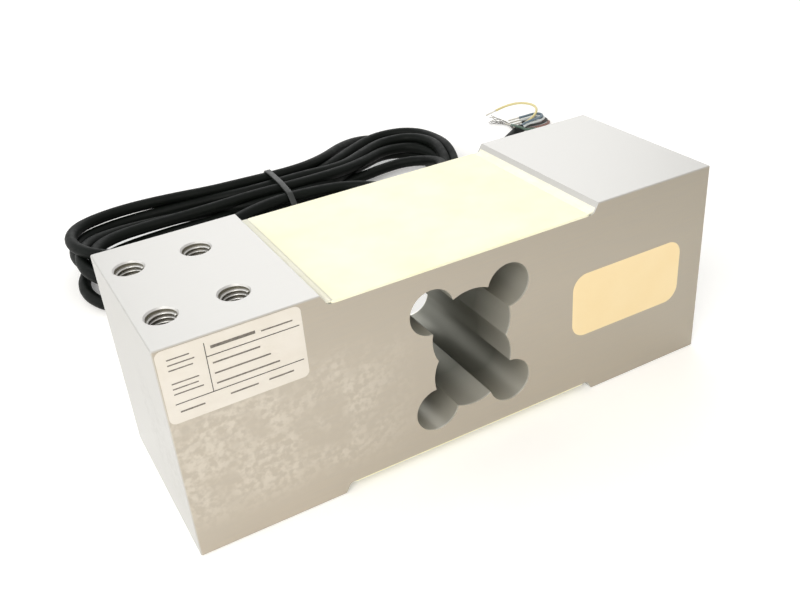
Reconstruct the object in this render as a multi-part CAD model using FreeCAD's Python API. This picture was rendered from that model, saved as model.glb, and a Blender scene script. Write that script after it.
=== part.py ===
"""Single point load cell: an aluminium block with a machined sensing section, and its tied cable.

Millimetres. The origin is the centre of the block's underside, +X runs along its length, towards
the end with the potted terminal pocket, +Y points to the cable side and +Z up.
"""

import FreeCAD, Part
import math
import os

V = FreeCAD.Vector
X, Y, Z = V(1, 0, 0), V(0, 1, 0), V(0, 0, 1)

# The block
LENGTH = 174.0
WIDTH = 60.0
HEIGHT = 65.0
EDGE_BREAK = 0.3
# How far a cutter runs past the face it starts from
OVERRUN = 1.0

# The full-height pads at both ends, and the shallow recess between them, above and below
PAD_LENGTH = 43.0
RECESS_HALF = LENGTH / 2 - PAD_LENGTH
RECESS_DEPTH = 3.25
RECESS_WALL_ANGLE = 30.0
RECESS_RUN = RECESS_DEPTH * math.tan(math.radians(RECESS_WALL_ANGLE))
RECESS_ROOT_RADIUS = 1.5
COVER_THICKNESS = 0.6
COVER_SETBACK = 0.5
COVER_HALF = RECESS_HALF - RECESS_RUN - COVER_SETBACK
COVER_CORNER = 2.0
COVER_EDGE = 0.3

# The cut-out that leaves the four thin webs
WEB_HOLE_RADIUS = 7.0
WEB_HOLE_X = 12.5
WEB_THICKNESS = 6.0
WEB_HOLE_RISE = HEIGHT / 2 - RECESS_DEPTH - WEB_THICKNESS - WEB_HOLE_RADIUS
CORE_BORE_RADIUS = 13.0
CORE_BORE_INSET = 10.0
CORE_BORE_RISE = WEB_HOLE_RISE - CORE_BORE_INSET

# The terminal pocket, the potting that fills it and the small board inside
POCKET_FROM_END = 30.5
POCKET_X = LENGTH / 2 - POCKET_FROM_END
POCKET_LENGTH = 42.0
POCKET_HEIGHT = 21.5
POCKET_CORNER = 5.0
POCKET_DEPTH = 14.0
BOARD_LENGTH = 34.0
BOARD_HEIGHT = 15.0
BOARD_THICKNESS = 1.2
BOARD_CORNER = 1.0
BOARD_STANDOFF = 3.9
RESISTOR_COUNT = 4
RESISTOR_SIZE = (3.2, 1.6, 0.8)
RESISTOR_PITCH = 6.0
LEAD_REACH = 8.0
LEAD_DROP = 3.0

# The strain gauges on the webs, their foil and their leads
GAUGE_LENGTH = 12.0
GAUGE_WIDTH = 7.0
GAUGE_FILM = 0.10
FOIL_LENGTH = 6.0
FOIL_WIDTH = 4.0
FOIL_THICKNESS = 0.05
TAB_SIDE = 1.6
TAB_HEIGHT = 0.15
LEAD_WIDTH = 1.6
LEAD_THICKNESS = 0.2
LEAD_RUN_Y = -12.0
DUCT_INSET = 3.0
DUCT_X = POCKET_X - POCKET_LENGTH / 2 + DUCT_INSET
DUCT_FROM_FACE = 8.0
DUCT_Y = -WIDTH / 2 + DUCT_FROM_FACE
DUCT_RADIUS = 1.3
DUCT_LEAD_RADIUS = 0.9
INNER_GAP = 0.05

# The threaded mounting holes: one group on top at one end, one underneath at the other
BOLT_RADIUS = 4.0
BOLT_POINT_ANGLE = 118.0
BOLT_POINT = BOLT_RADIUS / math.tan(math.radians(BOLT_POINT_ANGLE / 2))
BOLT_WALL = 3.35
BOLT_DEPTH = (HEIGHT - POCKET_HEIGHT) / 2 - BOLT_WALL - BOLT_POINT
BOLT_COUNTERSINK = 0.45
BOLT_FROM_END = 16.5
BOLT_SPACING_X = 19.0
BOLT_SPACING_Y = 30.0

# The label on the front face
LABEL_LENGTH = 37.0
LABEL_HEIGHT = 21.0
LABEL_CORNER = 1.8
LABEL_THICKNESS = 0.12
LABEL_INSET = 0.5

# The cable gland on the back face
GLAND_HOLE_RADIUS = 6.0
GLAND_THREAD_LENGTH = 7.0
GLAND_FLATS = 15.0
GLAND_HEX_LENGTH = 4.0
GLAND_SPIGOT_LENGTH = 8.0
GLAND_WASHER = 1.0
GLAND_WASHER_RIM = 0.5
GLAND_NUT_LENGTH = 13.0
GLAND_NUT_WALL = 1.4
GLAND_NOSE_LENGTH = 4.0
SEAL_LENGTH = 8.0
SEAL_RADIUS = 4.4
HEX_EDGE = 0.5
CABLE_BORE_CLEARANCE = 0.6

# The cable: six cores in a screen and a jacket
CABLE_RADIUS = 2.5
CABLE_INNER_END = 1.5
CORE_RADIUS = 0.65
CORE_RING = 1.45
BUNDLE_RADIUS = 7.4
LIFT = 0.05
TIE_WIDTH = 2.4
TIE_THICKNESS = 0.9
TIE_HEAD = (5.0, 3.2, 4.4)
TIE_X = 16.5
TIP_LENGTH = 8.0
TIP_RADIUS = 0.45
SCREEN_RADIUS = 0.8
CORE_START_GAP = 0.3
RUN_SHARE = 0.45

# Where the cable's bundles and its free stretches lie, (x, y), and their height over the floor
FLOOR_CABLE = CABLE_RADIUS + LIFT
FLOOR_BUNDLE = BUNDLE_RADIUS + LIFT
FAR_BUNDLE = [
    (-75.5, 140.0), (-75.5, 149.0), (-73.0, 160.0), (-65.0, 168.0), (-53.0, 170.5), (-30.0, 168.0),
    (4.0, 163.9), (29.0, 163.9), (50.0, 175.5), (68.0, 184.5), (82.0, 185.5), (93.0, 180.0),
    (99.0, 169.0), (99.5, 157.0), (99.5, 149.0),
]
NEAR_BUNDLE = [
    (-75.5, 140.0), (-75.5, 131.0), (-72.0, 121.0), (-62.0, 116.5), (-48.0, 120.5), (-14.0, 144.5),
    (4.0, 156.1), (29.0, 156.1), (46.0, 139.0), (62.0, 126.0), (77.0, 122.0), (90.0, 127.0),
    (99.5, 138.0), (99.5, 149.0),
]
LEAD_ROUTE = [
    (POCKET_X, 65.0, HEIGHT / 2), (57.0, 84.0, 26.5), (58.5, 102.0, 20.8), (61.0, 119.0, 20.2),
    (65.0, 134.0, 19.0), (71.0, 147.0, 12.5), (80.0, 158.5, 8.5), (91.0, 170.5, 7.0),
]
TAIL_ROUTE = [
    (70.0, 118.0, FLOOR_CABLE), (90.0, 113.5, FLOOR_CABLE), (109.0, 118.0, FLOOR_CABLE),
    (122.0, 132.0, FLOOR_CABLE), (131.0, 148.0, FLOOR_CABLE), (145.0, 160.5, FLOOR_CABLE),
    (160.0, 169.5, FLOOR_CABLE),
]
# The stripped end: each core's route after the jacket, up to where its insulation ends
CORES = {
    "yellow": [(164.0, 175.4, 4.0), (169.5, 180.2, 6.8), (176.0, 184.2, 7.4), (182.0, 189.0, 6.5),
               (183.0, 195.5, 5.0), (178.5, 199.8, 4.0), (172.0, 200.6, 3.0), (165.8, 198.8, 1.7)],
    "blue": [(165.8, 173.0, 4.7), (170.4, 175.3, 5.3), (175.4, 176.6, 5.3), (181.2, 177.0, 5.3),
             (183.8, 179.6, 5.3), (183.8, 183.2, 5.3), (181.2, 185.8, 5.3), (174.8, 185.6, 5.3),
             (168.2, 182.6, 5.1)],
    "white": [(166.4, 171.5, 3.4), (171.5, 173.6, 3.8), (176.8, 175.0, 3.8), (182.4, 175.8, 3.8),
              (185.0, 178.4, 3.8), (185.0, 182.0, 3.8), (182.4, 184.6, 3.8), (176.2, 184.8, 3.8),
              (169.8, 182.8, 3.7)],
    "green": [(166.6, 170.2, 1.0), (173.4, 170.0, 0.7), (176.2, 167.2, 0.7), (176.2, 163.2, 0.7),
              (173.4, 160.4, 0.7), (165.4, 160.0, 0.7)],
    "red": [(166.4, 172.9, 0.8), (172.6, 173.6, 0.7), (178.9, 174.1, 0.7), (185.2, 175.0, 0.7),
            (188.4, 178.2, 0.7), (188.4, 182.6, 0.7), (185.2, 185.8, 0.7), (179.0, 187.0, 0.7),
            (172.8, 187.4, 0.7)],
    "black": [(164.8, 174.9, 2.0), (170.6, 176.8, 2.3), (177.0, 177.4, 2.3), (183.4, 177.6, 2.3),
              (186.0, 180.2, 2.3), (186.0, 183.8, 2.3), (183.4, 186.4, 2.3), (177.2, 187.0, 2.3),
              (171.0, 186.0, 2.3)],
}
SCREEN_ROUTE = [(157.4, 171.8, 1.2), (160.8, 177.4, 0.9), (162.2, 183.4, 0.9), (160.4, 189.0, 0.9),
                (157.0, 193.4, 0.9)]


def box(low, high):
    """A box between two corners."""
    return Part.makeBox(high[0] - low[0], high[1] - low[1], high[2] - low[2], V(*low))


def rod(radius, start, end):
    """A straight round rod from one point to another."""
    return Part.makeCylinder(radius, (end - start).Length, start, end - start)


def edges_along(shape, axis):
    """The straight edges of a shape that run along an axis."""
    return [e for e in shape.Edges if abs(e.tangentAt(e.FirstParameter).dot(axis)) > 0.99]


def rounded_plate(length, height, thickness, corner, centre):
    """A plate that faces -Y, with round corners; centre is the middle of its back."""
    plate = box((-length / 2, -thickness, -height / 2), (length / 2, 0, height / 2))
    plate = plate.makeFillet(corner, edges_along(plate, Y))
    plate.translate(centre)
    return plate


def corner_radius(before, at, after):
    """The radius of the arc at a route's corner, and half its turn."""
    a, b = at - before, after - at
    half_turn = a.getAngle(b) / 2
    return RUN_SHARE * min(a.Length, b.Length) / math.tan(half_turn), half_turn


def route_wire(points):
    """Straight runs joined by tangent arcs."""
    edges, start = [], points[0]
    for before, at, after in zip(points, points[1:], points[2:]):
        radius, half_turn = corner_radius(before, at, after)
        into, out = (at - before).normalize(), (after - at).normalize()
        reach = radius * math.tan(half_turn)
        first, last = at - into * reach, at + out * reach
        bow = (out - into).normalize()
        middle = at + bow * (radius / math.cos(half_turn) - radius)
        edges += [Part.LineSegment(start, first).toShape(), Part.Arc(first, middle, last).toShape()]
        start = last
    edges.append(Part.LineSegment(start, points[-1]).toShape())
    return Part.Wire(edges)


def tube(points, radius, name):
    """A round tube along a route; prints its length, its tightest bend and how true its volume is."""
    path = route_wire(points)
    ring = Part.Wire(Part.Circle(points[0], points[1] - points[0], radius).toShape())
    solid = path.makePipeShell([ring], True, False)
    bends = [corner_radius(*three)[0] for three in zip(points, points[1:], points[2:])]
    true = solid.Volume / (math.pi * radius**2 * path.Length)
    print(f"{name}: {path.Length:.0f} mm long, radii {[round(b, 1) for b in bends]}, volume {true:.4f}")
    return solid


def recess_cutter(top):
    """The space of one recess, right across the block."""
    floor_half = RECESS_HALF - RECESS_RUN
    over_half = RECESS_HALF + OVERRUN * math.tan(math.radians(RECESS_WALL_ANGLE))
    corners = [(-over_half, OVERRUN), (-floor_half, -RECESS_DEPTH), (floor_half, -RECESS_DEPTH),
               (over_half, OVERRUN)]
    outline = Part.makePolygon([V(x, -WIDTH, z) for x, z in corners + corners[:1]])
    space = Part.Face(outline).extrude(V(0, 2 * WIDTH, 0))
    roots = [e for e in edges_along(space, Y) if e.CenterOfMass.z < -RECESS_DEPTH / 2]
    space = space.makeFillet(RECESS_ROOT_RADIUS, roots)
    space.translate(V(0, 0, HEIGHT))
    return space if top else to_underside(space)


def to_underside(shape):
    """The same shape mirrored to the block's underside."""
    return shape.mirror(V(0, 0, HEIGHT / 2), Z)


def web_holes():
    """The two core bores and the four holes that thin the webs, right across the block."""
    places = [(0, CORE_BORE_RISE, CORE_BORE_RADIUS), (0, -CORE_BORE_RISE, CORE_BORE_RADIUS)]
    places += [(x, z, WEB_HOLE_RADIUS) for x in (-WEB_HOLE_X, WEB_HOLE_X)
               for z in (-WEB_HOLE_RISE, WEB_HOLE_RISE)]
    holes = [rod(r, V(x, -WIDTH, HEIGHT / 2 + z), V(x, WIDTH, HEIGHT / 2 + z)) for x, z, r in places]
    return holes[0].fuse(holes[1:]).removeSplitter()


def tapped_hole():
    """One threaded hole, from the origin downwards, with its countersink and drill point."""
    wide = BOLT_RADIUS + BOLT_COUNTERSINK
    profile = [(0, BOLT_COUNTERSINK), (wide + BOLT_COUNTERSINK, BOLT_COUNTERSINK), (wide, 0),
               (BOLT_RADIUS, -BOLT_COUNTERSINK), (BOLT_RADIUS, -BOLT_DEPTH), (0, -BOLT_DEPTH - BOLT_POINT)]
    outline = Part.makePolygon([V(x, 0, z) for x, z in profile + profile[:1]])
    return Part.Face(outline).revolve(V(0, 0, 0), Z, 360)


def bolt_holes(end):
    """Four threaded holes: from the top at the -X end, or from below at the +X end."""
    inner = LENGTH / 2 - BOLT_FROM_END
    centre = end * inner
    holes = []
    for dx in (-BOLT_SPACING_X / 2, BOLT_SPACING_X / 2):
        for dy in (-BOLT_SPACING_Y / 2, BOLT_SPACING_Y / 2):
            hole = tapped_hole()
            hole.translate(V(centre + dx, dy, HEIGHT))
            holes.append(hole if end < 0 else to_underside(hole))
    return holes


def pocket(extra=0.0):
    """The terminal pocket's space, and extra in front of the face."""
    return rounded_plate(POCKET_LENGTH, POCKET_HEIGHT, POCKET_DEPTH + extra, POCKET_CORNER,
                         V(POCKET_X, -WIDTH / 2 + POCKET_DEPTH, HEIGHT / 2))


def lead_duct(top):
    """The drilled way for the gauge leads, from a recess floor into the pocket."""
    roof = HEIGHT / 2 + POCKET_HEIGHT / 2
    duct = rod(DUCT_RADIUS, V(DUCT_X, DUCT_Y, roof - POCKET_CORNER), V(DUCT_X, DUCT_Y, HEIGHT))
    return duct if top else to_underside(duct)


def gland_way():
    """The gland's threaded hole in the back face, and the cable's bore on to the pocket."""
    back = WIDTH / 2
    at = lambda y: V(POCKET_X, y, HEIGHT / 2)
    thread = rod(GLAND_HOLE_RADIUS, at(back - GLAND_THREAD_LENGTH - OVERRUN), at(back + OVERRUN))
    bore = rod(CABLE_RADIUS + CABLE_BORE_CLEARANCE, at(-back + POCKET_DEPTH / 2), at(back))
    return thread.fuse(bore)


def beam_body():
    """The block: webs, recesses, pocket, gland hole, lead ducts and mounting holes cut from one bar."""
    block = box((-LENGTH / 2, -WIDTH / 2, 0), (LENGTH / 2, WIDTH / 2, HEIGHT))
    block = block.makeChamfer(EDGE_BREAK, block.Edges)
    cuts = [recess_cutter(True), recess_cutter(False), web_holes(), pocket(OVERRUN), gland_way()]
    cuts += [lead_duct(True), lead_duct(False)] + bolt_holes(-1) + bolt_holes(1)
    return block.cut(cuts)


def gauge(x):
    """A foil strain gauge on the upper recess floor: film, foil grid and two solder tabs."""
    floor = HEIGHT - RECESS_DEPTH
    film = box((x - GAUGE_LENGTH / 2, -GAUGE_WIDTH / 2, floor),
               (x + GAUGE_LENGTH / 2, GAUGE_WIDTH / 2, floor + GAUGE_FILM))
    top = floor + GAUGE_FILM
    foil = box((x - FOIL_LENGTH / 2, -FOIL_WIDTH / 2, top),
               (x + FOIL_LENGTH / 2, FOIL_WIDTH / 2, top + FOIL_THICKNESS))
    tabs = []
    for side in (-1, 1):
        middle = x + side * (GAUGE_LENGTH / 2 - TAB_SIDE)
        tabs.append(box((middle - TAB_SIDE / 2, -TAB_SIDE / 2, top),
                        (middle + TAB_SIDE / 2, TAB_SIDE / 2, top + TAB_HEIGHT)))
    return film.fuse([foil] + tabs)


def board_face():
    """The plane of the terminal board's front."""
    return -WIDTH / 2 + POCKET_DEPTH - BOARD_STANDOFF - BOARD_THICKNESS


def gauge_leads():
    """The flat leads from the two upper gauges to the duct, and down it to the terminal board."""
    floor = HEIGHT - RECESS_DEPTH
    half, edge = LEAD_WIDTH / 2, -GAUGE_WIDTH / 2
    strips = [box((x - half, LEAD_RUN_Y - half, floor), (x + half, edge, floor + LEAD_THICKNESS))
              for x in (-WEB_HOLE_X, WEB_HOLE_X)]
    strips.append(box((-WEB_HOLE_X - half, LEAD_RUN_Y - half, floor),
                      (DUCT_X + half, LEAD_RUN_Y + half, floor + LEAD_THICKNESS)))
    strips.append(box((DUCT_X - half, DUCT_Y - half, floor),
                      (DUCT_X + half, LEAD_RUN_Y, floor + LEAD_THICKNESS)))
    low = HEIGHT / 2 + BOARD_HEIGHT / 2 - LEAD_DROP
    down = rod(DUCT_LEAD_RADIUS, V(DUCT_X, DUCT_Y, low - half), V(DUCT_X, DUCT_Y, floor))
    across = box((DUCT_X, board_face() - LEAD_WIDTH, low - half),
                 (DUCT_X + LEAD_REACH, board_face(), low + half))
    return strips[0].fuse(strips[1:] + [down, across]).removeSplitter()


def gauge_cover(hidden):
    """The pale cover over the upper recess floor, hollowed for what it seals."""
    floor = HEIGHT - RECESS_DEPTH
    cover = box((-COVER_HALF, -WIDTH / 2, floor), (COVER_HALF, WIDTH / 2, floor + COVER_THICKNESS))
    cover = cover.makeFillet(COVER_CORNER, edges_along(cover, Z))
    middle = floor + COVER_THICKNESS / 2
    rim = [e for e in cover.Edges if e.CenterOfMass.z > middle + COVER_THICKNESS / 4]
    cover = cover.makeFillet(COVER_EDGE, rim).common(recess_cutter(True))
    return cover.cut(hidden)


def terminal_board():
    """The small board that joins the gauge leads to the cable's cores."""
    return rounded_plate(BOARD_LENGTH, BOARD_HEIGHT, BOARD_THICKNESS, BOARD_CORNER,
                         V(POCKET_X, board_face() + BOARD_THICKNESS, HEIGHT / 2))


def trim_resistors():
    """The small resistors that balance the bridge, in a row on the board."""
    long, high, thick = RESISTOR_SIZE
    chips = []
    for i in range(RESISTOR_COUNT):
        x = POCKET_X + (i - (RESISTOR_COUNT - 1) / 2) * RESISTOR_PITCH
        chips.append(box((x - long / 2, board_face() - thick, HEIGHT / 2 - high / 2),
                         (x + long / 2, board_face(), HEIGHT / 2 + high / 2)))
    return Part.makeCompound(chips)


def cable_in_gland():
    """The cable's own stretch through the gland and the block, up to the terminal pocket."""
    return rod(CABLE_RADIUS, V(POCKET_X, inner_cable_end(), HEIGHT / 2),
               V(POCKET_X, gland_nose(), HEIGHT / 2))


def inner_cable_end():
    return -WIDTH / 2 + POCKET_DEPTH - CABLE_INNER_END


def gland_nose():
    """Where the cable leaves the gland's nut."""
    return WIDTH / 2 + GLAND_WASHER + GLAND_HEX_LENGTH + GLAND_NUT_LENGTH


def ring_places(count, ring):
    """Places round a circle, as (across, up)."""
    turns = [2 * math.pi * (i + 0.5) / count for i in range(count)]
    return [(ring * math.cos(t), ring * math.sin(t)) for t in turns]


def terminal_cores():
    """The six cores between the cable's inner end and the back of the board."""
    back = board_face() + BOARD_THICKNESS
    return Part.makeCompound([
        rod(CORE_RADIUS, V(POCKET_X + x, back, HEIGHT / 2 + z),
            V(POCKET_X + x, inner_cable_end(), HEIGHT / 2 + z))
        for x, z in ring_places(len(CORES), CORE_RING)])


def terminal_potting(hidden):
    """The resin that fills the pocket, round the board and what is soldered to it."""
    resin = pocket()
    ways = [lead_duct(True), lead_duct(False)]
    return resin.cut(hidden).cut(ways).cut(gland_way())


def data_label():
    """The film label at the front face's upper left corner."""
    x = -LENGTH / 2 + LABEL_INSET + LABEL_LENGTH / 2
    z = HEIGHT - LABEL_INSET - LABEL_HEIGHT / 2
    return rounded_plate(LABEL_LENGTH, LABEL_HEIGHT, LABEL_THICKNESS, LABEL_CORNER,
                         V(x, -WIDTH / 2, z))


def hexagon(flats, y, length):
    """A hexagonal bar along +Y round the gland's axis, with its outer corners turned down."""
    corner = flats / math.sqrt(3)
    turns = [math.pi / 3 * i for i in range(7)]
    outline = Part.makePolygon([V(corner * math.cos(t), 0, corner * math.sin(t)) for t in turns])
    bar = Part.Face(outline).extrude(V(0, length, 0))
    turned = Part.makeCylinder(corner - HEX_EDGE / 2, length, V(0, 0, 0), Y)
    turned = turned.makeChamfer(HEX_EDGE, [e for e in turned.Edges if e.Closed])
    bar = bar.common(turned)
    bar.translate(V(POCKET_X, y, HEIGHT / 2))
    return bar


def gland_washer():
    """The flat sealing washer under the gland's hexagon."""
    start = V(POCKET_X, WIDTH / 2, HEIGHT / 2)
    end = start + Y * GLAND_WASHER
    return rod(GLAND_FLATS / 2 + GLAND_WASHER_RIM, start, end).cut(rod(GLAND_HOLE_RADIUS, start, end))


def gland_body():
    """The gland's threaded body: its hexagon against the washer, and the spigot under the nut."""
    axis = lambda y: V(POCKET_X, WIDTH / 2 + y, HEIGHT / 2)
    hexed = hexagon(GLAND_FLATS, WIDTH / 2 + GLAND_WASHER, GLAND_HEX_LENGTH)
    end = GLAND_WASHER + GLAND_HEX_LENGTH + GLAND_SPIGOT_LENGTH
    stem = rod(GLAND_HOLE_RADIUS - INNER_GAP, axis(-GLAND_THREAD_LENGTH), axis(end))
    bore = rod(CABLE_RADIUS + CABLE_BORE_CLEARANCE, axis(-GLAND_THREAD_LENGTH), axis(end))
    seat = rod(SEAL_RADIUS, axis(end - SEAL_LENGTH / 2), axis(end))
    return hexed.fuse(stem).cut([bore, seat]).removeSplitter()


def gland_seal():
    """The rubber sleeve that grips the cable, half in the body and half in the nut."""
    middle = WIDTH / 2 + GLAND_WASHER + GLAND_HEX_LENGTH + GLAND_SPIGOT_LENGTH
    start = V(POCKET_X, middle - SEAL_LENGTH / 2, HEIGHT / 2)
    end = V(POCKET_X, middle + SEAL_LENGTH / 2, HEIGHT / 2)
    return rod(SEAL_RADIUS, start, end).cut(rod(CABLE_RADIUS + INNER_GAP, start, end))


def gland_nut():
    """The gland's clamping nut: a hexagon whose nose closes in round the cable."""
    start = WIDTH / 2 + GLAND_WASHER + GLAND_HEX_LENGTH
    bar = hexagon(GLAND_FLATS, start, GLAND_NUT_LENGTH)
    axis = lambda y: V(POCKET_X, start + y, HEIGHT / 2)
    shoulder = GLAND_NUT_LENGTH - GLAND_NOSE_LENGTH
    neck = CABLE_RADIUS + CABLE_BORE_CLEARANCE
    wide, narrow = GLAND_FLATS / math.sqrt(3), neck + GLAND_NUT_WALL
    cylinder = rod(wide, axis(0), axis(shoulder))
    nose = Part.makeCone(wide, narrow, GLAND_NOSE_LENGTH, axis(shoulder), Y)
    outside = bar.common(cylinder.fuse(nose))
    spigot = rod(GLAND_HOLE_RADIUS, axis(0), axis(GLAND_SPIGOT_LENGTH))
    seat = rod(SEAL_RADIUS + INNER_GAP, axis(0), axis(GLAND_SPIGOT_LENGTH + SEAL_LENGTH / 2))
    way = rod(neck, axis(0), axis(GLAND_NUT_LENGTH))
    return outside.cut([spigot, seat, way]).removeSplitter()


def cable_lead():
    """The cable from the gland, over its own bundle and down inside the loop."""
    start = V(POCKET_X, gland_nose(), HEIGHT / 2)
    return tube([start] + [V(*p) for p in LEAD_ROUTE], CABLE_RADIUS, "cable_lead")


def cable_hank():
    """The outer shape of the folded hank: a far and a near bundle that meet at both ends."""
    far, near = (tube([V(x, y, FLOOR_BUNDLE) for x, y in route], BUNDLE_RADIUS, "cable_hank")
                 for route in (FAR_BUNDLE, NEAR_BUNDLE))
    return far.fuse(near)


def cable_tail():
    """The cable from the hank along the floor to its stripped end."""
    return tube([V(*p) for p in TAIL_ROUTE], CABLE_RADIUS, "cable_tail")


def band(half_width, half_height, centre):
    """A flat oval band round +X, as wide as the tie."""
    flat = half_width - half_height
    slab = box((0, -flat, -half_height), (TIE_WIDTH, flat, half_height))
    ends = [Part.makeCylinder(half_height, TIE_WIDTH, V(0, y, 0), X) for y in (-flat, flat)]
    oval = slab.fuse(ends).removeSplitter()
    oval.translate(centre)
    return oval


def cable_tie():
    """The nylon tie round the waist of the hank, with its head on the near side."""
    far, near = (min(route, key=lambda p: abs(p[0] - TIE_X))[1] for route in (FAR_BUNDLE, NEAR_BUNDLE))
    half = (far - near) / 2 + BUNDLE_RADIUS
    corner = V(TIE_X - TIE_WIDTH / 2, (far + near) / 2, FLOOR_BUNDLE)
    inside = band(half + INNER_GAP, BUNDLE_RADIUS + INNER_GAP, corner)
    outside = band(half + TIE_THICKNESS, BUNDLE_RADIUS + TIE_THICKNESS, corner)
    long, thick, high = TIE_HEAD
    side = (far + near) / 2 - half - INNER_GAP
    head = box((TIE_X - long / 2, side - thick, FLOOR_BUNDLE - high / 2),
               (TIE_X + long / 2, side, FLOOR_BUNDLE + high / 2))
    around = outside.BoundBox
    under = box((around.XMin, around.YMin, around.ZMin), (around.XMax, around.YMax, 0))
    return outside.cut([inside, under]).fuse(head)


def jacket_frame():
    """The stripped end's middle, and its directions along and across."""
    before, end = V(*TAIL_ROUTE[-2]), V(*TAIL_ROUTE[-1])
    along = (end - before).normalize()
    return end, along, Z.cross(along)


def core_points(colour):
    """A core's route, from the jacket's end."""
    end, along, across = jacket_frame()
    side, up = ring_places(len(CORES), CORE_RING)[list(CORES).index(colour)]
    return [end + along * CORE_START_GAP + across * side + Z * up] + [V(*p) for p in CORES[colour]]


def core_tips():
    """The tinned ends of the cores, past their insulation."""
    tips = []
    for route in CORES.values():
        before, end = V(*route[-2]), V(*route[-1])
        along = (end - before).normalize()
        along.z = max(along.z, (TIP_RADIUS + LIFT - end.z) / TIP_LENGTH)
        tips.append(rod(TIP_RADIUS, end, end + along.normalize() * TIP_LENGTH))
    return Part.makeCompound(tips)


def cable_screen():
    """The screen's strands, twisted together and drawn out beside the jacket's end."""
    return tube([V(*p) for p in SCREEN_ROUTE], SCREEN_RADIUS, "cable_screen")


def build():
    gauges = {"left": gauge(-WEB_HOLE_X), "right": gauge(WEB_HOLE_X)}
    leads = gauge_leads()
    board, chips, cores = terminal_board(), trim_resistors(), terminal_cores()
    cover = gauge_cover(list(gauges.values()) + [leads])
    inner = [board, chips, cores, leads, to_underside(leads), cable_in_gland()]
    made = {
        "beam_body": beam_body(),
        "top_gauge_cover": cover,
        "bottom_gauge_cover": to_underside(cover),
        "upper_gauge_leads": leads,
        "lower_gauge_leads": to_underside(leads),
        "terminal_board": board,
        "trim_resistors": chips,
        "terminal_cores": cores,
        "terminal_potting": terminal_potting(inner),
        "data_label": data_label(),
        "gland_washer": gland_washer(),
        "gland_body": gland_body(),
        "gland_seal": gland_seal(),
        "gland_nut": gland_nut(),
        "cable_in_gland": cable_in_gland(),
        "cable_lead": cable_lead(),
        "cable_hank": cable_hank(),
        "cable_tail": cable_tail(),
        "cable_tie": cable_tie(),
        "core_tips": core_tips(),
        "cable_screen": cable_screen(),
    }
    for side, shape in gauges.items():
        made[f"strain_gauge_top_{side}"] = shape
        made[f"strain_gauge_bottom_{side}"] = to_underside(shape)
    for colour in CORES:
        name = f"wire_{colour}"
        made[name] = tube(core_points(colour), CORE_RADIUS, name)
    return made


os.makedirs("parts", exist_ok=True)
for name, shape in build().items():
    shape.exportStep(f"parts/{name}.step")
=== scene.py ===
# %% [markdown]
# # A single point load cell, finished in Blender
#
# A load cell is a metal block that bends a little when it is loaded. Strain gauges over its thin
# webs feel the bend, and a cable brings their signal out. The block, the gland and the parts
# inside come from the CAD model and keep their shapes. Blender adds what CAD leaves out: the
# finishes, the thread in the mounting holes, the skin of the potting resin, and the cable as one
# smooth line with its six cores.

# %% Load the model
import math

import bmesh
import bpy
from mathutils import Matrix, Vector


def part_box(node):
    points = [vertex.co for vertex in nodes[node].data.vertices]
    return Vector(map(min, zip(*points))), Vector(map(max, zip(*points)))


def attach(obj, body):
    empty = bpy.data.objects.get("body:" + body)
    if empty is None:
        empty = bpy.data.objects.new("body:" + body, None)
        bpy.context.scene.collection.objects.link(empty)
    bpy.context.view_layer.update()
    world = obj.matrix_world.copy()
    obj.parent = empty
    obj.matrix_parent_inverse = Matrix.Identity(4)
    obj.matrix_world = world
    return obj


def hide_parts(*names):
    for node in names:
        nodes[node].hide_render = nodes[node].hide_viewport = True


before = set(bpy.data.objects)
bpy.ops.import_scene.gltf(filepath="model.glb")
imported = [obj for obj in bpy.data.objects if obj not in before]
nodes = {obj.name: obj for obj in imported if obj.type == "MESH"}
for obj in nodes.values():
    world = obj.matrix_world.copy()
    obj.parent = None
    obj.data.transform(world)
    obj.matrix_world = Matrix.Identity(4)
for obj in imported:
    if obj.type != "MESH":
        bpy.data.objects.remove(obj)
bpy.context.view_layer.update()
MM = 0.001

# %% [markdown]
# ## The camera
#
# The camera looks down on the block's label side from the left. Its place is given as a view
# direction, a roll and a point, so that its three axes can be worked out with cross products. A
# 41 mm lens on a 36 mm sensor is close to what the eye expects of a small object on a table.

# %% The camera
VIEW_AZIMUTH = math.radians(-26.926)
VIEW_ELEVATION = math.radians(30.474)
VIEW_ROLL = math.radians(-4.824)
VIEW_POINT = Vector((-115.820, -214.959, 178.156)) * MM
LENS, NEAREST_SEEN = 41.42, 0.01

backward = Vector((math.sin(VIEW_AZIMUTH) * math.cos(VIEW_ELEVATION),
                   -math.cos(VIEW_AZIMUTH) * math.cos(VIEW_ELEVATION), math.sin(VIEW_ELEVATION)))
level = Vector((0, 0, 1)).cross(backward).normalized()
turned = Matrix((level, backward.cross(level), backward)).transposed()
turned = turned @ Matrix.Rotation(VIEW_ROLL, 3, "Z")
camera_data = bpy.data.cameras.new("camera")
camera_data.lens = LENS
camera_data.clip_start = NEAREST_SEEN
camera = bpy.data.objects.new("camera", camera_data)
camera.matrix_world = Matrix.Translation(VIEW_POINT) @ turned.to_4x4()
bpy.context.scene.collection.objects.link(camera)
bpy.context.scene.camera = camera
print("camera at", [round(c, 3) for c in VIEW_POINT])

# %% [markdown]
# ## Colours and nodes
#
# Colours are written as they look on a screen, from 0 to 255, and are turned to linear light for
# the shaders. A finish starts as a Principled shader with even values on its own sockets, and
# patterns are linked to it only where the surface isn't even.

# %% A colour and a new finish
def tone(red, green, blue):
    """A screen colour as linear light."""
    linear = [c / 255 / 12.92 if c <= 10 else ((c / 255 + 0.055) / 1.055) ** 2.4
              for c in (red, green, blue)]
    return (*linear, 1.0)


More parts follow.
